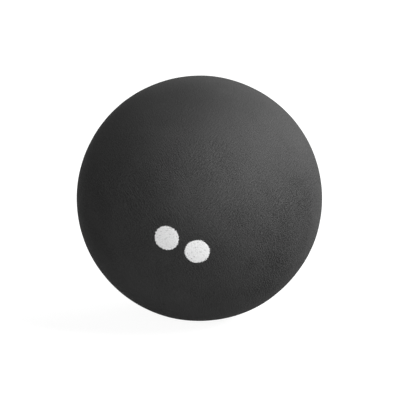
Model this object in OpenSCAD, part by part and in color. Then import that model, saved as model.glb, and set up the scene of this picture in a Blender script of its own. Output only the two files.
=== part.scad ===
// Squash ball: two moulded rubber half shells, butt joined rim to rim by a film of rubber
// cement, then buffed together to one sphere. Millimetres.
// The ball's centre is the origin and Z points up. The joint lies in the XZ plane, so the
// front half shell looks towards -Y and the rear one towards +Y.

/* [Ball] */
// Outside diameter of the buffed ball
ball_d = 40; // [36:0.5:60]
// Wall of each half shell
wall_t = 5; // [3:0.1:8]

/* [Joint] */
// Thickness of the cement between the two rims
film_t = 0.2; // [0.1:0.05:0.5]
// Bevel moulded round the inner edge of each rim, which leaves a groove for spare cement
rim_bevel = 0.8; // [0.4:0.1:1.5]
// How far the squeezed out cement bulges from that groove into the hollow
bead_rise = 0.35; // [0.15:0.05:0.6]

/* [Hidden] */
$fn = 180;
rubber_colour = [0.25, 0.255, 0.25];
cement_colour = [0.18, 0.18, 0.18];
outer_r = ball_d / 2;
inner_r = outer_r - wall_t;
// Each rim face stands off the joint plane by half the cement
rim_z = film_t / 2;
// Where a bevel leaves the hollow's wall
groove_z = rim_z + rim_bevel;
groove_r = sqrt(inner_r ^ 2 - groove_z ^ 2);
// Where it leaves the rim face
foot_r = groove_r + rim_bevel;
// The bead's round face runs through both edges of the groove
bead_r = (groove_z ^ 2 + bead_rise ^ 2) / (2 * bead_rise);
bead_middle_r = groove_r - bead_rise + bead_r;
// One overrun serves every cut
overrun = 1;

// The three sections below are turned round the joint's axis: X is the distance from that
// axis, and Y the height above the joint plane.

// The space between the rims: a slot as thick as the cement, which opens into a groove
// where the two bevels part. The bevels' slopes run on past the hollow's wall.
module rim_gap_section() {
    polygon([
        [outer_r + overrun, rim_z],
        [foot_r, rim_z],
        [groove_r - overrun, groove_z + overrun],
        [groove_r - overrun, -groove_z - overrun],
        [foot_r, -rim_z],
        [outer_r + overrun, -rim_z]
    ]);
}

module half_shell_section() {
    difference() {
        intersection() {
            circle(r = outer_r);
            square(outer_r + overrun);
        }
        circle(r = inner_r);
        rim_gap_section();
    }
}

// The cement fills that space from the ball's skin to the bead's round face
module cement_section() {
    intersection() {
        rim_gap_section();
        circle(r = outer_r);
        union() {
            translate([bead_middle_r, 0]) circle(r = bead_r);
            translate([bead_middle_r, -groove_z]) square([wall_t, 2 * groove_z]);
        }
    }
}

module half_shell() {
    color(rubber_colour) rotate_extrude() half_shell_section();
}

module front_half_shell() {
    rotate([90, 0, 0]) half_shell();
}

module rear_half_shell() {
    rotate([-90, 0, 0]) half_shell();
}

module joint_cement() {
    color(cement_colour) rotate([90, 0, 0]) rotate_extrude() cement_section();
}

front_half_shell();
rear_half_shell();
joint_cement();
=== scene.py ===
# %% [markdown]
# # Dressing a squash ball
#
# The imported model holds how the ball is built: two rubber half shells, and the film of
# rubber cement that joins them rim to rim. This lesson gives that ball its looks: the
# buffed skin, the fine line of the joint and two dots of ink. It starts by loading the
# model as a fixed frame, and every size below is taken from there, so nothing here moves
# or resizes the ball. Units are metres, and `MM` turns millimetres into them.

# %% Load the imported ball
import math

import bpy
import numpy as np
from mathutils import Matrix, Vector


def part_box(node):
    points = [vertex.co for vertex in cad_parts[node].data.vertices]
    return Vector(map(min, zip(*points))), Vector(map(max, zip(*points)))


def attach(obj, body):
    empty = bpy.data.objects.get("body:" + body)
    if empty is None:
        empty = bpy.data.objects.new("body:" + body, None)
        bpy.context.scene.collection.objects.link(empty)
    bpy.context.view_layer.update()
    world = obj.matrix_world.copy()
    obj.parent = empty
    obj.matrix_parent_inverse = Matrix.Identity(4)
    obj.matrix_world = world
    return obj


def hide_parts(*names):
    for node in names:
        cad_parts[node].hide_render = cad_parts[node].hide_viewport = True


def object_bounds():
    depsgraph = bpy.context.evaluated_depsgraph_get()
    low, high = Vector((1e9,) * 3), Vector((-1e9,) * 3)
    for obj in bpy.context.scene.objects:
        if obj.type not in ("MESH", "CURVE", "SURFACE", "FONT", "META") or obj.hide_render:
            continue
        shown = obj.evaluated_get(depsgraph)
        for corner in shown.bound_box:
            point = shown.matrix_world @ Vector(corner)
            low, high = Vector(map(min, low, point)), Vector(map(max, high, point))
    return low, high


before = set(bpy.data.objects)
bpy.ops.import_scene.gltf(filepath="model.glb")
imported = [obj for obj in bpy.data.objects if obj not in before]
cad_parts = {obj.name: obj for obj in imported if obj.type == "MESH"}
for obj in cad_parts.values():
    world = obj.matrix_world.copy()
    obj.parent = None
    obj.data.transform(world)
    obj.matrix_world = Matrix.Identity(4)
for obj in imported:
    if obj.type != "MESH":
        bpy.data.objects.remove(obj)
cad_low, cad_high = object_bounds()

MM = 0.001
print("The packed ball spans", [round(side / MM, 2) for side in cad_high - cad_low], "mm")

# %% [markdown]
# ## The ball's sizes
#
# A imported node's vertices lie on its true surfaces, so the ball's radii are read straight
# from them: the furthest vertex of a half shell is on the skin and the nearest is on the
# wall of the hollow. The boxes of the nodes give the heights of the rim and of the groove
# above the joint plane, which is the plane y = 0.


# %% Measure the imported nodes
def vertex_places(mesh):
    """All the vertices of a mesh as one array of rows x, y, z."""
    places = np.empty(len(mesh.vertices) * 3)
    mesh.vertices.foreach_get("co", places)
    return places.reshape(-1, 3)


shell_reach = np.linalg.norm(vertex_places(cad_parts["rear_half_shell"].data), axis=1)
cement_reach = np.linalg.norm(vertex_places(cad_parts["joint_cement"].data), axis=1)
OUTER_R = float(shell_reach.max())
INNER_R = float(shell_reach.min())
RIM_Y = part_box("rear_half_shell")[0].y
GROOVE_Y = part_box("joint_cement")[1].y
BEAD_R = float(cement_reach.min())
print("Skin, hollow and bead at", [round(r / MM, 2) for r in (OUTER_R, INNER_R, BEAD_R)], "mm")
print("Rim and groove stand", round(RIM_Y / MM, 2), "and", round(GROOVE_Y / MM, 2), "mm off the joint")

# %% [markdown]
# ## The relief that buffing leaves
#
# After the halves are cemented the whole ball is tumbled against abrasive wheels. That
# takes off the moulding flash and the shine, and leaves the skin very slightly uneven. A
# noise texture could only fake this in the shading, so it goes into the mesh instead: it
# bends the outline and the highlights, as the real one does. Smooth unevenness is made by
# adding many plain cosine waves that cross the ball in random directions. Three sizes of
# wave are enough, and a seeded generator draws the same waves on every run.


# %% Sum random waves
BROAD_WAVE, BROAD_HEIGHT = 11 * MM, 0.010 * MM
MIDDLE_WAVE, MIDDLE_HEIGHT = 3.6 * MM, 0.0035 * MM
FINE_WAVE, FINE_HEIGHT = 1.5 * MM, 0.0008 * MM
WAVE_COUNT = 40
PITCH_SHARES = 0.75, 1.35
TRIAL_PLACES = 4000


def crossing_waves(places, wavelength, seed):
    """A smooth random height at each place, with a spread of about one. Each wave is the
    cosine of the place measured along a random heading, times a full turn per pitch, plus a
    random phase, and its pitch is a random share of the wavelength. Their sum is divided by
    the root of half their number."""
    draw = np.random.default_rng(seed)
    heading = draw.normal(size=(WAVE_COUNT, 3))
    heading /= np.linalg.norm(heading, axis=1, keepdims=True)
    pitch = wavelength * draw.uniform(*PITCH_SHARES, (WAVE_COUNT, 1))
    phase = draw.uniform(0, 2 * np.pi, WAVE_COUNT)
    waves = np.cos(places @ (2 * np.pi * heading / pitch).T + phase)
    return waves.sum(axis=1) / math.sqrt(WAVE_COUNT / 2)


trial = np.random.default_rng(1).normal(size=(TRIAL_PLACES, 3))
trial *= OUTER_R / np.linalg.norm(trial, axis=1, keepdims=True)
print("The fine waves' spread is", round(float(crossing_waves(trial, FINE_WAVE, seed=13).std()), 2))


# %% Shape the skin with them
SEAM_DIP, SEAM_HALF_WIDTH = 0.022 * MM, 0.35 * MM


def buffed_relief(places):
    """How far the skin stands above a true sphere at each place. It is three sizes of
    crossing waves, less a bell curve of the distance to the joint plane, because the
    wheel bites a little deeper along the softer cement."""
    broad = BROAD_HEIGHT * crossing_waves(places, BROAD_WAVE, seed=11)
    middle = MIDDLE_HEIGHT * crossing_waves(places, MIDDLE_WAVE, seed=12)
    fine = FINE_HEIGHT * crossing_waves(places, FINE_WAVE, seed=13)
    dip = SEAM_DIP * np.exp(-((places[:, 1] / SEAM_HALF_WIDTH) ** 2))
    return broad + middle + fine - dip


def on_skin(headings, proud=0.0):
    """Places on the buffed skin: each unit heading times the ball's radius, plus the
    relief there and however far the surface stands proud of it."""
    places = headings * OUTER_R
    return headings * (OUTER_R + buffed_relief(places) + proud)[:, None]


print("The relief runs from", np.round(np.percentile(buffed_relief(trial), [1, 99]) / MM, 3), "mm")

# %% [markdown]
# ## A grid that wraps half a ball
#
# A globe's grid of meridians crowds its faces together at the pole, and this ball's pole
# faces the camera. A square grid avoids that. Its squares lie in rings round its middle.
# Each ring is bent into a circle, and the circles are laid over the half ball from the
# pole to the rim at equal arcs, so all the faces have nearly the same size. The same
# square grid, left flat, is also the shell's UV map, which makes one island with no seam
# on the skin.


# %% Bend a square grid over half a ball
GRID_CELLS = 196


def square_rings(cells):
    """A flat square grid from -1 to 1, and for each of its points the ring it lies on, from
    0 in the middle to 1 at the border, and the turn round that ring as an angle. The ring
    is the larger of the two sizes of the coordinates. The angle is that of the side's middle
    plus an eighth of a turn times the share of the side that has been walked."""
    line = np.linspace(-1, 1, cells + 1)
    across, up = (side.ravel() for side in np.meshgrid(line, line))
    ring = np.maximum(abs(across), abs(up))
    size = np.where(ring > 0, ring, 1)
    on_side = abs(across) >= abs(up)
    walked = np.pi / 4 * np.where(on_side, up * np.sign(across), -across * np.sign(up)) / size
    middle = np.where(on_side, np.where(across < 0, np.pi, 0), np.pi / 2 * np.sign(up))
    return np.stack([across, up], axis=1), ring, middle + walked


def grid_faces(cells):
    """The quads of a square grid, as the indices of their four corners."""
    at = np.arange((cells + 1) ** 2).reshape(cells + 1, cells + 1)
    corners = [at[:-1, :-1], at[:-1, 1:], at[1:, 1:], at[1:, :-1]]
    return np.stack([corner.ravel() for corner in corners], axis=1)


def grid_border(cells):
    """The indices of the grid's border points, once round it."""
    at = np.arange((cells + 1) ** 2).reshape(cells + 1, cells + 1)
    return np.concatenate([at[0, :-1], at[:-1, -1], at[-1, :0:-1], at[:0:-1, 0]])


flat_grid, grid_ring, grid_turn = square_rings(GRID_CELLS)
border = grid_border(GRID_CELLS)
print("One wall of a half shell has", GRID_CELLS**2, "quads and", len(border), "border points")

# %% [markdown]
# ## A half shell as one closed surface
#
# Two such grids make a shell: one for the skin and one, turned inside out, for the wall of
# the hollow. Between them runs the rim. It is a profile carried once round the border, and
# its points are the last of the skin, the slightly rounded edge, the rim face and the
# bevel that leaves room for spare cement. Both half shells use one function. The rear one
# is the front one turned half round the upright axis, but its relief is worked out where it
# ends up, so the buffing runs across the joint without a break.


# %% Build the profile of the rim
SKIN_STRIP_Y = 0.9 * MM
EDGE_ROUND = 0.045 * MM
BEVEL = GROOVE_Y - RIM_Y
SKIN_RINGS, EDGE_RINGS, FACE_RINGS, BEVEL_RINGS = 7, 3, 4, 3


def rim_profile():
    """The points of the rim as rows of reach from the axis and height above the joint, in
    order from skin to hollow. The skin part lies on the outer sphere, the edge is a quarter
    circle, and the rim face and the bevel are straight."""
    skin_y = np.geomspace(SKIN_STRIP_Y, RIM_Y + EDGE_ROUND, SKIN_RINGS + 1)[1:]
    skin = np.stack([np.sqrt(OUTER_R**2 - skin_y**2), skin_y], axis=1)
    quarter = np.linspace(0, np.pi / 2, EDGE_RINGS + 1)[1:]
    edge_x = skin[-1, 0] - EDGE_ROUND * (1 - np.cos(quarter))
    edge = np.stack([edge_x, RIM_Y + EDGE_ROUND * (1 - np.sin(quarter))], axis=1)
    groove_x = math.sqrt(INNER_R**2 - GROOVE_Y**2)
    face_x = np.linspace(edge[-1, 0], groove_x + BEVEL, FACE_RINGS + 1)[1:]
    face = np.stack([face_x, np.full(FACE_RINGS, RIM_Y)], axis=1)
    slope = np.linspace(0, BEVEL, BEVEL_RINGS + 1)[1:-1]
    bevel = np.stack([groove_x + BEVEL - slope, RIM_Y + slope], axis=1)
    return np.concatenate([skin, edge, face, bevel])


profile = rim_profile()
print("The rim's profile has", len(profile), "points, of which", SKIN_RINGS, "lie on the skin")


# %% Place the vertices of a half shell
def bent_over(ring, turn, radius, edge_y):
    """Places on half a sphere whose pole faces -Y: the arc from the pole is the ring times
    the arc at which the sphere reaches edge_y from the joint plane."""
    arc = ring * math.acos(edge_y / radius)
    return radius * np.stack([np.sin(arc) * np.cos(turn), -np.cos(arc), np.sin(arc) * np.sin(turn)], axis=1)


def half_shell_places(facing):
    """The places of a half shell's vertices. facing is 1 for the shell whose pole faces -Y,
    and -1 for the one turned half round the Z axis. What lies on the skin follows the
    relief, and the rounded edge moves in or out by the same share as the skin beside it."""
    facings = np.array([facing, facing, 1])
    skin = bent_over(grid_ring, grid_turn, OUTER_R, SKIN_STRIP_Y) * facings
    skin = on_skin(skin / OUTER_R)
    angle = grid_turn[border]
    loops = [
        np.stack([x * np.cos(angle), np.full(len(angle), -y), x * np.sin(angle)], axis=1) * facings
        for x, y in profile
    ]
    for step in range(SKIN_RINGS):
        loops[step] = on_skin(loops[step] / OUTER_R)
    sag = np.linalg.norm(loops[SKIN_RINGS - 1], axis=1) / OUTER_R
    for step in range(SKIN_RINGS, SKIN_RINGS + EDGE_RINGS):
        loops[step] = loops[step] * sag[:, None]
    wall = bent_over(grid_ring, grid_turn, INNER_R, GROOVE_Y) * facings
    return np.concatenate([skin, *loops, wall])


front_places = half_shell_places(facing=1)
rear_places = half_shell_places(facing=-1)
print("A half shell has", len(front_places), "vertices")


# %% Join them with quads
def half_shell_quads():
    """Quads of the skin, of the strips between neighbouring loops, and of the wall with its
    corners in the other order, so that every face looks out of the rubber."""
    skin = grid_faces(GRID_CELLS)
    rim_start = len(flat_grid)
    wall_start = rim_start + len(profile) * len(border)
    rim = np.arange(rim_start, wall_start).reshape(len(profile), len(border))
    loops = [border, *rim, wall_start + border]
    strips = [
        np.stack([here, there, np.roll(there, -1), np.roll(here, -1)], axis=1)
        for here, there in zip(loops[:-1], loops[1:])
    ]
    return np.concatenate([skin, *strips, wall_start + skin[:, ::-1]]).tolist()


shell_quads = half_shell_quads()
print("A half shell has", len(shell_quads), "quads")


# %% Lay the half shell out flat
SKIN_SHARE, RIM_SHARE, WALL_SHARE = 0.72, 0.82, 0.17
SKIN_MARGIN, WALL_MARGIN = 0.01, 0.005


def half_shell_map():
    """A place on the UV map for every vertex: the flat grid for the skin, square rings
    round it for the rim, and a small copy of the grid in a corner for the hidden wall."""
    middle = RIM_SHARE / 2 + SKIN_MARGIN
    skin = middle + flat_grid * SKIN_SHARE / 2
    growth = np.linspace(SKIN_SHARE, RIM_SHARE, len(profile) + 1)[1:] / 2
    rim = [middle + flat_grid[border] * size for size in growth]
    wall = 1 - WALL_MARGIN - WALL_SHARE / 2 + flat_grid * WALL_SHARE / 2
    return np.concatenate([skin, *rim, wall])


shell_map = half_shell_map()
print("The skin takes", round(SKIN_SHARE**2, 2), "of its UV map")

# %% [markdown]
# ## From arrays to an object
#
# One helper turns places and quads into a Blender object. It also writes the UV map, shades
# the faces smooth, keeps the few true edges sharp, hangs the piece under the empty of the
# body it rides on, and hides the imported node that it stands for.


# %% Turn arrays into a piece of the ball
SHARP_ANGLE = math.radians(40)
BAKE_MAP = "OFBake"


def add_piece(name, places, faces, node=None, uv=None):
    """Makes a mesh object at the origin from rows of places and lists of face corners. uv
    gives a place on the UV map for every vertex."""
    mesh = bpy.data.meshes.new(name)
    mesh.from_pydata(places.tolist(), [], faces)
    mesh.polygons.foreach_set("use_smooth", np.ones(len(faces), dtype=bool))
    mesh.set_sharp_from_angle(angle=SHARP_ANGLE)
    if uv is not None:
        vertex = np.empty(len(mesh.loops), dtype=np.int32)
        mesh.loops.foreach_get("vertex_index", vertex)
        mesh.uv_layers.new(name=BAKE_MAP).uv.foreach_set("vector", uv[vertex].ravel())
    piece = bpy.data.objects.new(name, mesh)
    bpy.context.scene.collection.objects.link(piece)
    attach(piece, "root")
    if node:
        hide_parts(node)
    return piece


front_shell = add_piece(
    "front_shell", front_places, shell_quads, "front_half_shell", shell_map
)
rear_shell = add_piece(
    "rear_shell", rear_places, shell_quads, "rear_half_shell", shell_map
)
print("Made", front_shell.name, "and", rear_shell.name)

# %% [markdown]
# ## The cement ring
#
# The cement is a film a fifth of a millimetre thick, with a bead where the surplus was
# squeezed into the groove inside. On the real ball that bead is never even: it swells and
# thins along the joint. So the ring is one closed profile carried round a circle, and the
# part of the profile that bulges into the hollow is scaled by a slow random wave on the
# way. Outside, the film ends in a shallow hollow just below the skin, and that is all that
# shows of it.


# %% Draw the cement's profile
FILM_SINK = 0.012 * MM
MOUTH_SHARE = 0.6
BEAD_POINTS = 14


def cement_profile():
    """The closed outline of the cement as rows of reach and height, and beside each row how
    far it may swell into the hollow. It goes in along one rim face, down one bevel, round
    the bead, which is an arc through both edges of the groove, and out along the other."""
    groove_x = math.sqrt(INNER_R**2 - GROOVE_Y**2)
    rise = groove_x - BEAD_R
    bead_radius = (GROOVE_Y**2 + rise**2) / (2 * rise)
    half_arc = math.asin(GROOVE_Y / bead_radius)
    arc = np.linspace(half_arc, -half_arc, BEAD_POINTS)
    bead_x = BEAD_R + bead_radius * (1 - np.cos(arc))
    bead = np.stack([bead_x, bead_radius * np.sin(arc), (groove_x - bead_x) / rise], axis=1)
    reach = OUTER_R - EDGE_ROUND
    film_x = np.array([reach, (reach + groove_x + BEVEL) / 2, groove_x + BEVEL])
    inwards = np.stack([film_x, np.full_like(film_x, RIM_Y), np.zeros_like(film_x)], axis=1)
    outwards = inwards[::-1] * np.array([1, -1, 1])
    mouth = np.array([[OUTER_R - FILM_SINK, side * MOUTH_SHARE * RIM_Y, 0] for side in (-1, 1)])
    return np.concatenate([inwards, bead, outwards, mouth]), rise


cement_outline, bead_rise = cement_profile()
print("The bead rises", round(bead_rise / MM, 2), "mm into the hollow")


# %% Carry it round the joint
CEMENT_STEPS = 960
SWELL_WAVE, SWELL_SHARE = 6 * MM, 0.25


def cement_surface(outline, rise):
    """The outline at each step round the Y axis. The bead's reach is moved by a wave of
    the angle, times its own share of the bead's rise. The mouth follows the skin's relief."""
    turn = np.linspace(0, 2 * np.pi, CEMENT_STEPS, endpoint=False)
    circle = np.stack([np.cos(turn), np.zeros(CEMENT_STEPS), np.sin(turn)], axis=1)
    swell = SWELL_SHARE * rise * crossing_waves(circle * OUTER_R, SWELL_WAVE, seed=21)
    relief = buffed_relief(circle * OUTER_R)
    is_mouth = outline[:, 0] > OUTER_R - EDGE_ROUND / 2
    reach = outline[:, 0] - np.outer(swell, outline[:, 2]) + np.outer(relief, is_mouth)
    height = np.broadcast_to(outline[:, 1], reach.shape)
    places = np.stack([reach * np.cos(turn)[:, None], height, reach * np.sin(turn)[:, None]], axis=2)
    return places.reshape(-1, 3)


def ring_quads(steps, points):
    """Quads of a closed outline carried round a closed path, both of which wrap."""
    at = np.arange(steps * points).reshape(steps, points)
    onward = np.roll(at, -1, axis=0)
    corners = [at, np.roll(at, -1, axis=1), np.roll(onward, -1, axis=1), onward]
    return np.stack([corner.ravel() for corner in corners], axis=1).tolist()


cement_places = cement_surface(cement_outline, bead_rise)
cement_quads = ring_quads(CEMENT_STEPS, len(cement_outline))
cement_ring = add_piece("cement_ring", cement_places, cement_quads, "joint_cement")
print("The cement ring has", len(cement_quads), "quads")

# %% [markdown]
# ## The printed dots
#
# A ball's mark is pad printed after buffing: a silicone pad presses a film of ink, some
# hundredths of a millimetre thick, on to the curved skin. Two round dots are the plainest
# mark that such balls carry. Each is a thin closed disc that follows the relief under it.
# Its outline wanders where the ink met the grain of the rubber, and its edge thins out,
# which a flat circle of paint in the shader wouldn't do.


# %% Find where the mark goes
MARK_AZIMUTH, MARK_ELEVATION = math.radians(-8), math.radians(-9.5)
MARK_TILT = math.radians(-24)


def mark_axes():
    """The heading of the mark's middle, and the two tangents along and across its row. The
    level tangent is the upright axis crossed with the heading, and the tilt turns it."""
    flat = math.cos(MARK_ELEVATION)
    forward = [math.sin(MARK_AZIMUTH) * flat, -math.cos(MARK_AZIMUTH) * flat, math.sin(MARK_ELEVATION)]
    forward = np.array(forward)
    level = np.cross([0, 0, 1], forward) / flat
    upright = np.cross(forward, level)
    along = level * math.cos(MARK_TILT) + upright * math.sin(MARK_TILT)
    return forward, along, np.cross(forward, along)


mark_forward, mark_along, mark_across = mark_axes()
print("The mark's middle faces", np.round(mark_forward, 2))


# %% Shape a dot
DOT_R, DOT_SPACING = 1.95 * MM, 5.2 * MM
DOT_STEPS, DOT_RINGS = 420, 26
INK_THICKNESS, INK_BITE = 0.022 * MM, 0.012 * MM
INK_EDGE_SHARE = 0.1
EDGE_WAVES = [
    # fewest and most waves round the edge, how many such draws, share of the radius
    (2, 7, 4, 0.005),
    (16, 70, 24, 0.0075),
]


def ragged_edge(seed):
    """The dot's radius at each step round it: the plain radius, plus slow and fine waves
    that come in whole numbers, so that the outline closes."""
    draw = np.random.default_rng(seed)
    turn = np.linspace(0, 2 * np.pi, DOT_STEPS, endpoint=False)
    counts = np.concatenate([draw.integers(fewest, most, draws) for fewest, most, draws, _ in EDGE_WAVES])
    heights = DOT_R * np.concatenate([np.full(draws, share) for _, _, draws, share in EDGE_WAVES])
    waves = np.cos(np.outer(turn, counts) + draw.uniform(0, 2 * np.pi, len(counts)))
    return turn, DOT_R + waves @ heights


def dot_surface(offset, seed):
    """A closed disc of ink. Rings run out from its middle to the ragged edge on top, then
    back underneath. Its thickness falls away near the edge as a quarter circle."""
    middle = mark_forward * math.cos(offset / OUTER_R) + mark_along * math.sin(offset / OUTER_R)
    aside = np.cross(mark_across, middle)
    turn, edge = ragged_edge(seed)
    share = np.sin(np.linspace(0, np.pi / 2, DOT_RINGS + 1)[1:])
    into_edge = np.maximum(share - (1 - INK_EDGE_SHARE), 0) / INK_EDGE_SHARE
    thin = np.sqrt(np.clip(1 - into_edge**2, 0, 1))
    arc = np.outer(share, edge) / OUTER_R
    spoke = aside * np.cos(turn)[:, None] + mark_across * np.sin(turn)[:, None]
    heading = middle * np.cos(arc)[..., None] + spoke * np.sin(arc)[..., None]
    rows = heading.reshape(-1, 3)
    top = on_skin(rows, np.repeat(INK_THICKNESS * thin - INK_BITE * (1 - thin), DOT_STEPS))
    under = on_skin(rows, np.full(len(rows), -INK_BITE)).reshape(DOT_RINGS, DOT_STEPS, 3)
    under = under[-2::-1].reshape(-1, 3)
    poles = on_skin(np.stack([middle, middle]), np.array([INK_THICKNESS, -INK_BITE]))
    return np.concatenate([poles[:1], top, under, poles[1:]])


print("The ink stands", round(INK_THICKNESS / MM, 3), "mm proud of the skin")


# %% Join its rings with faces
def disc_faces(rings, steps):
    """Faces of rings between two poles: a fan of triangles at each end, and strips of quads
    from ring to ring."""
    loop = 1 + np.arange(rings * steps).reshape(rings, steps)
    onward = np.roll(loop, -1, axis=1)
    last = rings * steps + 1
    first_fan = np.stack([np.zeros(steps, dtype=int), loop[0], onward[0]], axis=1)
    last_fan = np.stack([np.full(steps, last), onward[-1], loop[-1]], axis=1)
    strips = np.stack([side.ravel() for side in (loop[:-1], loop[1:], onward[1:], onward[:-1])], axis=1)
    return [*first_fan.tolist(), *strips.tolist(), *last_fan.tolist()]


dot_faces = disc_faces(2 * DOT_RINGS - 1, DOT_STEPS)
print("A dot of ink has", len(dot_faces), "faces")


# %% Add the two dots
print_dots = [
    add_piece(name, dot_surface(offset, seed), dot_faces)
    for name, offset, seed in (("print_dot_a", -DOT_SPACING / 2, 31), ("print_dot_b", DOT_SPACING / 2, 32))
]
print("Printed", [dot.name for dot in print_dots])

# %% [markdown]
# ## Node helpers
#
# Every finish below is procedural: its colour, roughness and bumps are worked out from
# Object coordinates, so nothing is painted by hand and a pattern keeps its size in
# millimetres. Effects that several materials share are node groups with named sockets. A
# few short helpers keep the wiring readable: one puts a node into a tree and feeds its
# inputs, some name the nodes that are used most, and the last one opens a new group.


# %% Put nodes into a tree
def put(tree, kind, feeds=None, **settings):
    """Adds a node with the given settings. feeds maps an input to a value or to the output
    that drives it. Returns the node."""
    node = tree.nodes.new(kind)
    for name, value in settings.items():
        setattr(node, name, value)
    for socket, value in (feeds or {}).items():
        if isinstance(value, bpy.types.NodeSocket):
            tree.links.new(value, node.inputs[socket])
        else:
            node.inputs[socket].default_value = value
    return node


def calc(tree, operation, first, second, third=0.0):
    """The output of a Math node."""
    return put(tree, "ShaderNodeMath", {0: first, 1: second, 2: third}, operation=operation).outputs[0]


def vector_calc(tree, operation, first, second=(0, 0, 0)):
    """The vector that a Vector Math node puts out."""
    return put(tree, "ShaderNodeVectorMath", {0: first, 1: second}, operation=operation).outputs[0]


def scaled(tree, vector, factor):
    """A vector times a number."""
    return put(tree, "ShaderNodeVectorMath", {0: vector, "Scale": factor}, operation="SCALE").outputs[0]


# %% Stretch, blend and draw noise
# A Noise Texture's value varies about a half, and seldom leaves this range
NOISE_LOW, NOISE_HIGH = 0.3, 0.7
NOISE_ROUGHNESS = 0.55


def spread(tree, value, low, high, to_low=0.0, to_high=1.0):
    """A value's range from low to high, stretched to another range and held inside it."""
    feeds = {"Value": value, "From Min": low, "From Max": high, "To Min": to_low, "To Max": to_high}
    return put(tree, "ShaderNodeMapRange", feeds).outputs["Result"]


def blend_between(tree, share, first, second):
    """first where share is 0 and second where it is 1."""
    feeds = {"Factor": share, "A": first, "B": second}
    return put(tree, "ShaderNodeMix", feeds, data_type="FLOAT").outputs["Result"]


def raw_noise(tree, place, scale, detail=1.0, roughness=0.5):
    """The value of a Noise Texture as it is."""
    feeds = {"Vector": place, "Scale": scale, "Detail": detail, "Roughness": roughness}
    return put(tree, "ShaderNodeTexNoise", feeds).outputs["Fac"]


def noise(tree, place, scale, detail=2.0):
    """The value of a Noise Texture, with its usual range stretched to 0 to 1."""
    return spread(tree, raw_noise(tree, place, scale, detail, NOISE_ROUGHNESS), NOISE_LOW, NOISE_HIGH)


print("Noise is stretched from the range", NOISE_LOW, "to", NOISE_HIGH)


# %% Open a node group
def open_group(title, takes, gives):
    """A new shader group. takes lists the inputs as name, kind and start value, and gives
    lists the outputs as name and kind."""
    tree = bpy.data.node_groups.new(title, "ShaderNodeTree")
    for name, kind, value in takes:
        socket = tree.interface.new_socket(name, in_out="INPUT", socket_type="NodeSocket" + kind)
        socket.default_value = value
    for name, kind in gives:
        tree.interface.new_socket(name, in_out="OUTPUT", socket_type="NodeSocket" + kind)
    return tree, put(tree, "NodeGroupInput").outputs, put(tree, "NodeGroupOutput").inputs


# %% [markdown]
# ## Buffing strokes
#
# Close up, the abrasive has left short fine strokes, which lie one way over a patch a few
# millimetres wide and another way over the next. The ball turns about some axis while it
# is buffed, so its strokes lie along rings round that axis. Noise that is narrow along the
# axis and long across it is a stack of thin leaves, and the skin cuts those leaves in just
# such rings.
#
# Plain noise would also swell and sink slowly, and a matt skin would look blotched. A real
# stroke is a groove with an edge thrown up beside it. So the group takes the noise at a
# place and subtracts the noise a little to the side: what changes slowly is the same at
# both and cancels out, and only the fine strokes stay. At the two ends of the axis the
# skin lies flat on the leaves and the rings turn into blots, so the group also puts out
# how far along the axis a place lies.

# %% Group: buffing strokes
EDGE_SHIFT = 0.8
STROKE_RANGE = 0.3
strokes, take, give = open_group(
    "Buffing strokes",
    [
        ("Place", "Vector", (0, 0, 0)),
        ("Turn", "Vector", (0, 0, 0)),
        ("Width", "Float", 0.2),
        ("Length", "Float", 1.0),
    ],
    [("Height", "Float"), ("Along axis", "Float")],
)
feeds = {"Vector": take["Place"], "Rotation": take["Turn"]}
turned = put(strokes, "ShaderNodeVectorRotate", feeds, rotation_type="EULER_XYZ").outputs[0]
feeds = {"X": take["Width"], "Y": take["Length"], "Z": take["Length"]}
stroke_size = put(strokes, "ShaderNodeCombineXYZ", feeds).outputs[0]
groove_place = vector_calc(strokes, "DIVIDE", turned, stroke_size)
edge_place = vector_calc(strokes, "ADD", groove_place, (EDGE_SHIFT, 0, 0))
groove = raw_noise(strokes, groove_place, 1.0)
edge = raw_noise(strokes, edge_place, 1.0)
height = spread(strokes, calc(strokes, "SUBTRACT", groove, edge), -STROKE_RANGE, STROKE_RANGE)
strokes.links.new(height, give["Height"])
on_axis = put(strokes, "ShaderNodeSeparateXYZ", {0: turned}).outputs["X"]
strokes.links.new(calc(strokes, "ABSOLUTE", on_axis, 0.0), give["Along axis"])
print("Made the group", strokes.name, "with", len(strokes.nodes), "nodes")

# %% [markdown]
# ## Torn grain
#
# Between the strokes the torn rubber has a grain with no direction. It mustn't drift slowly
# from pale to dark either, so each place's noise is weighed against that of two neighbours.
# The neighbours have to lie on the skin. One that lay off it would be on another layer of
# the noise, and the slow drift along the skin wouldn't cancel. Crossing the place with any
# axis gives one heading along the skin, and crossing it with that heading gives the
# second, which is square to the first.

# %% Group: torn grain
GRAIN_AXIS = (0.3, 0.2, 1.0)
GRAIN_RANGE = 0.6
torn, take, give = open_group(
    "Torn grain",
    [("Place", "Vector", (0, 0, 0)), ("Scale", "Float", 5.0), ("Step", "Float", 0.1)],
    [("Height", "Float")],
)
stands = calc(torn, "MULTIPLY", raw_noise(torn, take["Place"], take["Scale"]), 2.0)
heading = GRAIN_AXIS
for _ in range(2):
    heading = vector_calc(torn, "NORMALIZE", vector_calc(torn, "CROSS_PRODUCT", take["Place"], heading))
    neighbour = vector_calc(torn, "ADD", take["Place"], scaled(torn, heading, take["Step"]))
    stands = calc(torn, "SUBTRACT", stands, raw_noise(torn, neighbour, take["Scale"]))
torn.links.new(spread(torn, stands, -GRAIN_RANGE, GRAIN_RANGE), give["Height"])
print("Made the group", torn.name, "with", len(torn.nodes), "nodes")

# %% [markdown]
# ## Opened pores
#
# Here and there buffing opens a pore that was inside the wall. A Voronoi pattern scatters
# one point in each of its cells. A pore is the middle of a cell, kept only where that
# cell's own random value is low, so most cells stay empty. Noise makes its reach uneven,
# because a torn pore isn't round.

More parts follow.
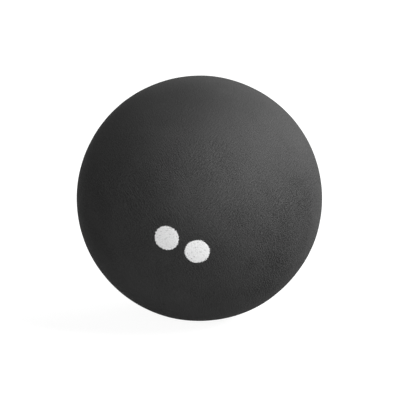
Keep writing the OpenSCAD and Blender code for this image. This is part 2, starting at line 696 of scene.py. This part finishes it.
# %% Group: pores
pores, take, give = open_group(
    "Opened pores",
    [
        ("Place", "Vector", (0, 0, 0)),
        ("Spacing", "Float", 1.0),
        ("Width", "Float", 0.2),
        ("Share kept", "Float", 0.3),
    ],
    [("Depth", "Float")],
)
PORE_RAG_SCALE = 5.0
PORE_RAG = 0.5, 1.5
PORE_RIM, PORE_FLOOR = 1.0, 0.4
spaced = scaled(pores, take["Place"], calc(pores, "DIVIDE", 1.0, take["Spacing"]))
torn_edge = raw_noise(pores, spaced, PORE_RAG_SCALE, detail=2.0)
rag = spread(pores, torn_edge, NOISE_LOW, NOISE_HIGH, *PORE_RAG)
cells = put(pores, "ShaderNodeTexVoronoi", {"Vector": spaced, "Scale": 1.0, "Randomness": 1.0}).outputs
cell_draw = put(pores, "ShaderNodeSeparateColor", {0: cells["Color"]}).outputs[0]
is_kept = calc(pores, "LESS_THAN", cell_draw, take["Share kept"])
reach = calc(pores, "DIVIDE", take["Width"], calc(pores, "MULTIPLY", take["Spacing"], 2.0))
from_middle = calc(pores, "DIVIDE", cells["Distance"], calc(pores, "MULTIPLY", reach, rag))
hollowed = spread(pores, from_middle, PORE_RIM, PORE_FLOOR)
pores.links.new(calc(pores, "MULTIPLY", hollowed, is_kept), give["Depth"])
print("Made the group", pores.name, "with", len(pores.nodes), "nodes")

# %% [markdown]
# ## Soft patches of painted light and shade
#
# Wide soft patches make the skin a shade paler or darker here and there: painted light,
# a painted highlight among it, and painted shade, laid over the lamps' shading. The same
# patches also change the wear. Their borders are so soft that only the slow change shows.
# One patch is a share that falls off smoothly with the distance from its middle, and slow
# noise pushes its border in and out a little.

# %% Group: soft patch
WOBBLE_SCALE = 0.25
WOBBLE_PUSH = 0.8, 1.2
PATCH_RIM, PATCH_CORE = 1.0, 0.1
patch, take, give = open_group(
    "Soft patch",
    [("Place", "Vector", (0, 0, 0)), ("Middle", "Vector", (0, 0, 0)), ("Reach", "Float", 5.0)],
    [("Share", "Float")],
)
feeds = {0: take["Place"], 1: take["Middle"]}
away = put(patch, "ShaderNodeVectorMath", feeds, operation="DISTANCE").outputs["Value"]
wobble = raw_noise(patch, take["Place"], WOBBLE_SCALE, detail=3.0)
pushed = calc(patch, "MULTIPLY", away, spread(patch, wobble, NOISE_LOW, NOISE_HIGH, *WOBBLE_PUSH))
from_core = calc(patch, "DIVIDE", pushed, take["Reach"])
feeds = {"Value": from_core, "From Min": PATCH_RIM, "From Max": PATCH_CORE}
share = put(patch, "ShaderNodeMapRange", feeds, interpolation_type="SMOOTHSTEP").outputs["Result"]
patch.links.new(share, give["Share"])
print("Made the group", patch.name, "with", len(patch.nodes), "nodes")

# %% [markdown]
# ## One skin for the whole ball
#
# The shells, the cement and even the ink share what buffing did, so those effects are
# gathered in one more group, together with the soft patches' painted light and shade. It
# puts out a height for the bumps, a speckle that carries the tone, that painted light and
# shade included, and the pores.
#
# First come the strokes. Two lots of them lie over the ball, each with its own heading, and
# slow noise decides which of the two rules where: the first mostly on the left and the
# second on the right. Near the ends of their axes a third lot takes over. The place is
# bent by a slow drift, so that no stroke runs in a perfect ring. Where the strokes thin
# out, as they do towards the foot, the grain shows instead.

# %% Lay three lots of strokes
STROKE_WIDTH, STROKE_LENGTH = 0.165, 0.8
TURNS = [(0, math.radians(36), 0), (0, math.radians(-42), 0), (0, 0, math.radians(-90))]
DRIFT_SCALE, DRIFT_REACH = 0.12, 1.5
LOTS_SCALE, LEAN_TO_RIGHT = 0.12, 0.03
FIRST_RULES, SECOND_RULES = 0.4, 0.6
NEAR_AXIS_END, AT_AXIS_END = 12, 16
skin, take, give = open_group(
    "Buffed skin",
    [("Place", "Vector", (0, 0, 0)), ("Stroke share", "Float", 0.5)],
    [("Height", "Float"), ("Speckle", "Float"), ("Pores", "Float")],
)
feeds = {"Vector": take["Place"], "Scale": DRIFT_SCALE, "Detail": 1.0}
drift = put(skin, "ShaderNodeTexNoise", feeds).outputs["Color"]
bent = vector_calc(skin, "ADD", take["Place"], scaled(skin, drift, DRIFT_REACH))
lots = []
for turn in TURNS:
    feeds = {"Place": bent, "Turn": turn, "Width": STROKE_WIDTH, "Length": STROKE_LENGTH}
    lots.append(put(skin, "ShaderNodeGroup", feeds, node_tree=strokes).outputs)
sides = put(skin, "ShaderNodeSeparateXYZ", {0: take["Place"]}).outputs
slow = noise(skin, take["Place"], LOTS_SCALE, detail=1.0)
leaning = calc(skin, "MULTIPLY_ADD", sides["X"], LEAN_TO_RIGHT, slow)
second_rules = spread(skin, leaning, FIRST_RULES, SECOND_RULES)
two_lots = blend_between(skin, second_rules, lots[0]["Height"], lots[1]["Height"])
along_axis = blend_between(skin, second_rules, lots[0]["Along axis"], lots[1]["Along axis"])
third_rules = spread(skin, along_axis, NEAR_AXIS_END, AT_AXIS_END)
combed = blend_between(skin, third_rules, two_lots, lots[2]["Height"])
print("Laid", len(lots), "lots of strokes")

# %% Let the grain show between them
GRAIN_SCALE, GRAIN_STEP = 5.2, 0.12
COMBED_SCALE, COMBED_LOW, COMBED_HIGH = 0.2, 0.2, 0.8
LEAST_COMBED, MOST_COMBED = 0.3, 0.9
COMBED_Z, GRAINY_Z, COMBED_AT_FOOT = 3, -5, 0.35
feeds = {"Place": take["Place"], "Scale": GRAIN_SCALE, "Step": GRAIN_STEP}
grain = put(skin, "ShaderNodeGroup", feeds, node_tree=torn).outputs["Height"]
patchy = noise(skin, take["Place"], COMBED_SCALE)
patchy = spread(skin, patchy, COMBED_LOW, COMBED_HIGH, LEAST_COMBED, MOST_COMBED)
upwards = spread(skin, sides["Z"], GRAINY_Z, COMBED_Z, COMBED_AT_FOOT, 1.0)
combed_share = calc(skin, "MULTIPLY", take["Stroke share"], calc(skin, "MULTIPLY", patchy, upwards))
worn = blend_between(skin, combed_share, grain, combed)
print("The strokes take", LEAST_COMBED, "to", MOST_COMBED, "of a material's share, and less at the foot")

# %% [markdown]
# The photograph shows the strokes best in a belt round the ball's middle. Its top is nearly
# smooth, its foot is a little smoother too, and its right is rougher than its left. So a
# wear value scales the strokes and the grain. It is one factor for the height above the
# belt, one for the depth below it and one from left to right, and noise lets the belt
# wander. The soft patches then go on. Each row says where one lies, how far it reaches, how
# much painted light it adds to the tone and how much more worn it is. A number below nought
# in the third place is painted shade, and in the fourth it makes the skin smoother.

# %% Wear the skin unevenly
TOP_Z, BELT_TOP_Z, TOP_WEAR = 16, 5, 0.35
FOOT_Z, BELT_FOOT_Z, FOOT_WEAR = -6, 4, 0.84
BELT_WANDER_SCALE, BELT_WANDER = 0.1, 6
SIDE_X, SIDE_WEAR = 18, (0.72, 1.08)
MIDDLE_TONE = 0.48
PAINTED_LIGHT_AND_WEAR_PATCHES = [
    # middle and reach in millimetres, how much painted light (below nought, painted shade), how much more
    # worn
    # a painted highlight at the upper right
    ((8, -15.5, 9.5), 12, 0.14, 0.0),
    ((15, -6.5, 11.5), 8, 0.11, 0.0),
    # painted shade at the top
    ((-2, -8, 18), 10, -0.13, 0.0),
    ((-15, -6.5, 11.5), 8, 0.12, 0.0),
    # painted shade at the left edge
    ((-19.5, -4, -1), 13, -0.15, 0.2),
    ((0, -19.5, 4), 8, 0.1, -0.2),
    ((3, -17, 10), 7, 0.0, 0.3),
    # painted light at the lower left
    ((-8.5, -10.5, -15), 12, 0.18, 0.3),
    # painted shade on the right, lower down
    ((15, -13, 2), 6, -0.05, 0.1),
    ((14.5, -13, -4), 10, -0.08, 0.25),
    ((11.5, -11, -12), 9, -0.06, 0.7),
]
wander = calc(skin, "SUBTRACT", noise(skin, take["Place"], BELT_WANDER_SCALE), 0.5)
level = calc(skin, "MULTIPLY_ADD", wander, BELT_WANDER, sides["Z"])
wear = spread(skin, level, BELT_TOP_Z, TOP_Z, 1.0, TOP_WEAR)
wear = calc(skin, "MULTIPLY", wear, spread(skin, level, BELT_FOOT_Z, FOOT_Z, 1.0, FOOT_WEAR))
wear = calc(skin, "MULTIPLY", wear, spread(skin, sides["X"], -SIDE_X, SIDE_X, *SIDE_WEAR))
# Each patch adds its painted light, or painted shade below nought, to the tone, and its wear to the wear
tone_and_painted_light = MIDDLE_TONE
for middle, reach, painted_light, rougher in PAINTED_LIGHT_AND_WEAR_PATCHES:
    feeds = {"Place": take["Place"], "Middle": middle, "Reach": reach}
    share = put(skin, "ShaderNodeGroup", feeds, node_tree=patch).outputs["Share"]
    tone_and_painted_light = calc(skin, "MULTIPLY_ADD", share, painted_light, tone_and_painted_light)
    wear = calc(skin, "MULTIPLY_ADD", share, rougher, wear)
print("Placed", len(PAINTED_LIGHT_AND_WEAR_PATCHES), "soft patches")

# %% [markdown]
# Last, the height and the speckle are put together. The height is the strokes and the grain
# times the wear, less the pores, more of which are open where the wheel bit deeper. The
# speckle starts from the tone with the patches' painted light and shade. Torn rubber
# scatters more light from its raised edges than from its grooves, so the strokes and the
# grain shade it too, and so do fine dust and slow clouds.

# %% Put out height, speckle and pores
PORE_SPACING, PORE_WIDTH, PORE_DEPTH = 0.95, 0.42, 0.5
FIRST_PORES_WEAR, MOST_PORES_WEAR, MOST_PORES = 0.92, 1.4, 0.5
STROKE_SHADE, GRAIN_SHADE = 0.6, 0.42
DUST_SCALE, DUST_SHADE = 7.5, 0.38
CLOUD_SCALE, CLOUD_SHADE = 0.22, 0.12
pores_kept = spread(skin, wear, FIRST_PORES_WEAR, MOST_PORES_WEAR, 0.0, MOST_PORES)
feeds = {"Place": take["Place"], "Spacing": PORE_SPACING, "Width": PORE_WIDTH, "Share kept": pores_kept}
pore_marks = put(skin, "ShaderNodeGroup", feeds, node_tree=pores).outputs["Depth"]
centred = calc(skin, "SUBTRACT", worn, 0.5)
bumps = calc(skin, "MULTIPLY", centred, wear)
skin.links.new(calc(skin, "SUBTRACT", bumps, calc(skin, "MULTIPLY", pore_marks, PORE_DEPTH)), give["Height"])
dust = noise(skin, take["Place"], DUST_SCALE, detail=0.0)
clouds = noise(skin, take["Place"], CLOUD_SCALE)
mixed = calc(skin, "MULTIPLY", centred, STROKE_SHADE)
for pattern, shade in ((grain, GRAIN_SHADE), (dust, DUST_SHADE), (clouds, CLOUD_SHADE)):
    mixed = calc(skin, "MULTIPLY_ADD", calc(skin, "SUBTRACT", pattern, 0.5), shade, mixed)
# The speckle's tone holds the soft patches' painted light and shade
skin.links.new(calc(skin, "MULTIPLY_ADD", mixed, wear, tone_and_painted_light), give["Speckle"])
skin.links.new(pore_marks, give["Pores"])
print("Made the group", skin.name, "with", len(skin.nodes), "nodes")

# %% [markdown]
# ## Rubber, cement and ink
#
# Squash rubber is filled with carbon black. It isn't pure black, because the buffed skin
# scatters light from its torn surface, which also makes the gloss very weak and broad. The
# speckle blends its colour between two greys and moves its roughness, the pores darken it,
# and the bumps come from the skin's height. The speckle holds the soft patches' painted
# light and shade, so every colour blended by it here carries them too. The hidden parts,
# inside the shell, were never buffed: there the mould's own finish shows, so the bumps fade
# out below the skin. The cement cures to nearly the same black. The ink is opaque white, a
# little thinner in the grooves of the skin, where the pad presses less, and the rubber shows
# where a speck of it is missing.


# %% Material helpers
def open_material(title):
    """A new material's tree, its Principled node, and Object coordinates in millimetres."""
    material = bpy.data.materials.new(title)
    material.use_nodes = True
    tree = material.node_tree
    coordinates = put(tree, "ShaderNodeTexCoord").outputs["Object"]
    return material, tree, tree.nodes["Principled BSDF"], scaled(tree, coordinates, 1 / MM)


def buffed_skin(tree, place, stroke_share):
    """The outputs of the shared skin in a material's tree."""
    feeds = {"Place": place, "Stroke share": stroke_share}
    return put(tree, "ShaderNodeGroup", feeds, node_tree=skin).outputs


def blend_colours(tree, share, first, second):
    """The first colour where share is 0 and the second where it is 1. On a Mix node the
    colours are inputs 6 and 7, and the mixed colour is output 2."""
    return put(tree, "ShaderNodeMix", {0: share, 6: first, 7: second}, data_type="RGBA").outputs[2]


def dress(tree, surface, colour, speckle, roughness, height, bump_depth):
    """Feeds a Principled node: its colour, a roughness that rises with the speckle from
    the first to the second of two values, and bumps as deep as bump_depth."""
    tree.links.new(colour, surface.inputs["Base Color"])
    tree.links.new(spread(tree, speckle, 0.0, 1.0, *roughness), surface.inputs["Roughness"])
    bump = put(tree, "ShaderNodeBump", {"Height": height, "Distance": bump_depth, "Strength": 1.0})
    tree.links.new(bump.outputs["Normal"], surface.inputs["Normal"])


# %% The buffed rubber
RUBBER_DEEP = (0.010, 0.010, 0.010, 1)
RUBBER_PALE = (0.068, 0.068, 0.068, 1)
PORE_COLOUR = (0.021, 0.021, 0.021, 1)
RUBBER_STROKES, RUBBER_ROUGHNESS, RUBBER_BUMP = 0.95, (0.72, 0.84), 0.03 * MM
RUBBER_GLOSS = 0.03
BUFFED_FROM, BUFFED_TO = OUTER_R / MM - 0.5, OUTER_R / MM - 0.1
rubber, tree, surface, place = open_material("buffed_rubber")
finish = buffed_skin(tree, place, RUBBER_STROKES)
# The speckle carries the soft patches' painted light and shade into this colour
toned = blend_colours(tree, finish["Speckle"], RUBBER_DEEP, RUBBER_PALE)
pored = blend_colours(tree, finish["Pores"], toned, PORE_COLOUR)
from_centre = put(tree, "ShaderNodeVectorMath", {0: place}, operation="LENGTH").outputs["Value"]
height = calc(tree, "MULTIPLY", finish["Height"], spread(tree, from_centre, BUFFED_FROM, BUFFED_TO))
dress(tree, surface, pored, finish["Speckle"], RUBBER_ROUGHNESS, height, RUBBER_BUMP)
surface.inputs["Specular IOR Level"].default_value = RUBBER_GLOSS
for shell in (front_shell, rear_shell):
    shell.data.materials.append(rubber)
print("The shells wear", rubber.name)

# %% The cement
CEMENT_DEEP = (0.020, 0.020, 0.020, 1)
CEMENT_PALE = (0.036, 0.036, 0.036, 1)
CEMENT_STROKES, CEMENT_ROUGHNESS, CEMENT_BUMP = 0.3, (0.6, 0.75), 0.01 * MM
cement, tree, surface, place = open_material("cured_cement")
finish = buffed_skin(tree, place, CEMENT_STROKES)
toned = blend_colours(tree, finish["Speckle"], CEMENT_DEEP, CEMENT_PALE)
dress(tree, surface, toned, finish["Speckle"], CEMENT_ROUGHNESS, finish["Height"], CEMENT_BUMP)
surface.inputs["Specular IOR Level"].default_value = RUBBER_GLOSS
cement_ring.data.materials.append(cement)
print("The ring wears", cement.name)

# %% The ink
INK_FULL = (0.95, 0.955, 0.955, 1)
INK_THIN = (0.72, 0.72, 0.72, 1)
INK_STROKES, INK_ROUGHNESS, INK_BUMP = 0.35, (0.42, 0.6), 0.01 * MM
SPECK_SCALE, SPECK_DETAIL_WEIGHT = 5.5, 0.7
SPECK_RIM, SPECK_MIDDLE = 0.38, 0.31
ink, tree, surface, place = open_material("white_ink")
finish = buffed_skin(tree, place, INK_STROKES)
specks = raw_noise(tree, place, SPECK_SCALE, detail=2.0, roughness=SPECK_DETAIL_WEIGHT)
missing = spread(tree, specks, SPECK_RIM, SPECK_MIDDLE)
shaded = blend_colours(tree, finish["Speckle"], INK_THIN, INK_FULL)
specked = blend_colours(tree, missing, shaded, RUBBER_DEEP)
dress(tree, surface, specked, finish["Speckle"], INK_ROUGHNESS, finish["Height"], INK_BUMP)
for dot in print_dots:
    dot.data.materials.append(ink)
print("The dots wear", ink.name)

# %% [markdown]
# ## The floor and the white surround
#
# The photograph's ground is pure white. Lighting a white floor until it clips would flood
# the ball from below, so the white is told apart by the kind of ray: a ray from the camera,
# or one that a shiny surface throws, sees white, while the rays that light the ball see a
# plain pale floor and a dim room. To the camera the floor adds a little of its own lit
# shade to that white, so it still shows the ball's shadow. From underneath, the floor is
# left clear.

# %% Lay the floor
FLOOR_HALF = 1.6
floor_mesh = bpy.data.meshes.new("floor")
floor_z = cad_low.z
corners = [(-1, -1), (1, -1), (1, 1), (-1, 1)]
floor_mesh.from_pydata([(x * FLOOR_HALF, y * FLOOR_HALF, floor_z) for x, y in corners], [], [(0, 1, 2, 3)])
floor = bpy.data.objects.new("floor", floor_mesh)
bpy.context.scene.collection.objects.link(floor)
print("The floor lies at", round(floor_z / MM, 2), "mm")


# %% Paint it
FLOOR_PALE = (0.35, 0.35, 0.35, 1)
FLOOR_SEEN = (0.18, 0.18, 0.18, 1)
FLOOR_ROUGHNESS = 0.9
FLOOR_GLOW = 0.935


def seen_or_mirrored(tree):
    """1 for rays from the camera and from mirrored or clear surfaces, and 0 for the rest."""
    path = put(tree, "ShaderNodeLightPath").outputs
    mirrored = calc(tree, "MAXIMUM", path["Is Glossy Ray"], path["Is Transmission Ray"])
    return calc(tree, "MAXIMUM", path["Is Camera Ray"], mirrored)


paper = bpy.data.materials.new("pale_floor")
paper.use_nodes = True
tree = paper.node_tree
surface = tree.nodes["Principled BSDF"]
seen = seen_or_mirrored(tree)
tree.links.new(blend_colours(tree, seen, FLOOR_PALE, FLOOR_SEEN), surface.inputs["Base Color"])
surface.inputs["Roughness"].default_value = FLOOR_ROUGHNESS
surface.inputs["Specular IOR Level"].default_value = 0.0
own_white = calc(tree, "MULTIPLY", seen, FLOOR_GLOW)
glow = put(tree, "ShaderNodeEmission", {"Strength": own_white})
lit = put(tree, "ShaderNodeAddShader", {0: surface.outputs[0], 1: glow.outputs[0]})
clear = put(tree, "ShaderNodeBsdfTransparent")
back = put(tree, "ShaderNodeNewGeometry").outputs["Backfacing"]
both = put(tree, "ShaderNodeMixShader", {0: back, 1: lit.outputs[0], 2: clear.outputs[0]})
tree.links.new(both.outputs[0], tree.nodes["Material Output"].inputs["Surface"])
floor_mesh.materials.append(paper)
print("The floor wears", paper.name)

# %% Fill the room
WHITE = (1, 1, 1, 1)
ROOM_LIGHT = 0.15
world = bpy.data.worlds.new("room")
bpy.context.scene.world = world
world.use_nodes = True
tree = world.node_tree
dim = tree.nodes["Background"]
dim.inputs["Color"].default_value = WHITE
dim.inputs["Strength"].default_value = ROOM_LIGHT
white = put(tree, "ShaderNodeBackground", {"Color": WHITE, "Strength": 1.0})
feeds = {0: seen_or_mirrored(tree), 1: dim.outputs[0], 2: white.outputs[0]}
surround = put(tree, "ShaderNodeMixShader", feeds)
tree.links.new(surround.outputs[0], tree.nodes["World Output"].inputs["Surface"])
print("The room gives", ROOM_LIGHT, "of white light from all round")

# %% [markdown]
# ## Soft lamps
#
# The shading tells where the lamps stood: the ball is palest at its upper right, the shade
# deepens slowly across it, and the left is darkest. That is one large softbox on the right
# and above, whose light wraps far round the ball. A weaker lamp on the camera's side opens
# the shade, and a third stands a little behind the right, because the ball stays pale up to
# its right outline. Each is a square area light given by its direction from the ball, so it
# is easy to move.

# %% Place the lamps
LAMP_DISTANCE = 0.8
LAMPS = [
    # name, azimuth (0 is the camera's side, 90 the right), elevation, side in metres, watts
    ("softbox", 75, 40, 0.5, 13.2),
    ("front_fill", 0, 10, 0.6, 3.6),
    ("rim_light", 135, 30, 0.5, 3.7),
]


def spot_round_ball(azimuth, elevation, distance):
    """A point seen from the ball at an azimuth, from the camera's side towards the right,
    and an elevation, both in degrees. Its height is the sine of the elevation, and the
    cosine is shared out by the sine and cosine of the azimuth."""
    aside, up = math.radians(azimuth), math.radians(elevation)
    level = math.cos(up)
    return distance * Vector((math.sin(aside) * level, -math.cos(aside) * level, math.sin(up)))


for name, azimuth, elevation, size, power in LAMPS:
    data = bpy.data.lights.new(name, "AREA")
    data.size = size
    data.energy = power
    lamp = bpy.data.objects.new(name, data)
    lamp.location = spot_round_ball(azimuth, elevation, LAMP_DISTANCE)
    lamp.rotation_euler = lamp.location.to_track_quat("Z", "Y").to_euler()
    lamp.visible_camera = False
    bpy.context.scene.collection.objects.link(lamp)
    print(name, "stands at", [round(value, 2) for value in lamp.location])

# %% [markdown]
# ## The camera
#
# A long lens flattens the ball the way a product photograph does. The distance follows from
# how large the ball's outline is in the picture: its edge is where a line of sight just
# touches the sphere, so the sine of half the ball's angle is its radius over the distance.
# The camera then aims a hair off the ball's middle, which puts the ball where the
# photograph has it without shifting the lens.

# %% Aim the camera
PICTURE_PX = 400
BALL_RADIUS_PX = 122.8
BALL_MIDDLE_PX = (199.44, 198.31)
CAMERA_ELEVATION = 12
LENS_MM, SENSOR_MM = 200, 36
camera_data = bpy.data.cameras.new("camera")
camera_data.lens = LENS_MM
camera_data.sensor_width = SENSOR_MM
camera = bpy.data.objects.new("camera", camera_data)
bpy.context.scene.collection.objects.link(camera)
bpy.context.scene.camera = camera
edge_slope = BALL_RADIUS_PX / PICTURE_PX * SENSOR_MM / LENS_MM
camera_distance = OUTER_R / math.sin(math.atan(edge_slope))
camera.location = spot_round_ball(0, CAMERA_ELEVATION, camera_distance)
look = -camera.location.normalized()
rightward = look.cross(Vector((0, 0, 1))).normalized()
upward = rightward.cross(look)
pixel = camera_distance * SENSOR_MM / LENS_MM / PICTURE_PX
off_right = (PICTURE_PX / 2 - BALL_MIDDLE_PX[0]) * pixel
off_down = (PICTURE_PX / 2 - BALL_MIDDLE_PX[1]) * pixel
aim = rightward * off_right - upward * off_down
camera.rotation_euler = (aim - camera.location).to_track_quat("-Z", "Y").to_euler()
bpy.context.scene.view_settings.view_transform = "Standard"
print("The camera is", round(camera_distance, 3), "m away and a pixel spans", round(pixel / MM, 3), "mm")
